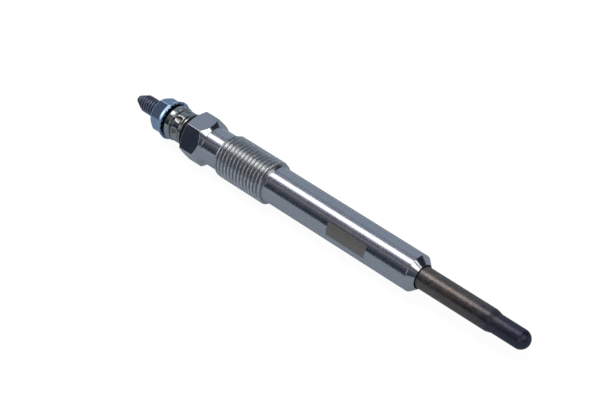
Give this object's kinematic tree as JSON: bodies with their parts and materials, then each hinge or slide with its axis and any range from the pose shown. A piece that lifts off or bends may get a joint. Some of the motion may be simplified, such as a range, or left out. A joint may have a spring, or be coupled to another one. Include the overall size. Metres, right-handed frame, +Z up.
{
  "type": "diesel glow plug",
  "caption": "Sheathed-element glow plug for a diesel engine: hexagon body with a fine thread, long barrel and sealing cone, slim heater tube, and a threaded terminal stud with a flange nut.",
  "frame": {"origin": "middle of the bounding box at its underside, on the surface that the plug lies on", "axes": "+X along the turning axis towards the heater tip, +Z up"},
  "size_m": [0.1114, 0.0116, 0.01],
  "materials": {
    "nickel_body": "nickel plate, smooth on the barrel, duller on thread and hexagon",
    "heat_tinted_sheath": "heat-tinted nickel alloy, brown near the body, dark at the tip",
    "dark_stud": "dark steel",
    "zinc_nut": "blue-passivated zinc plate",
    "nickel_collar": "warm nickel plate",
    "black_insulator": "black moulded insulator",
    "black_rubber": "black seal rubber",
    "red_rubber": "red-brown heat-proof rubber",
    "magnesia": "compacted magnesia powder",
    "coil_wire": "drawn resistance wire"
  },
  "bodies": {
    "root": {"plug_body": "nickel_body", "glow_tube": "heat_tinted_sheath", "terminal_stud": "dark_stud", "terminal_nut": "zinc_nut", "crimp_collar": "nickel_collar", "insulating_washer": "black_insulator", "o_ring": "black_rubber", "tube_seal": "red_rubber", "magnesia_fill": "magnesia", "control_coil": "coil_wire", "heating_coil": "coil_wire"}
  },
  "joints": []
}
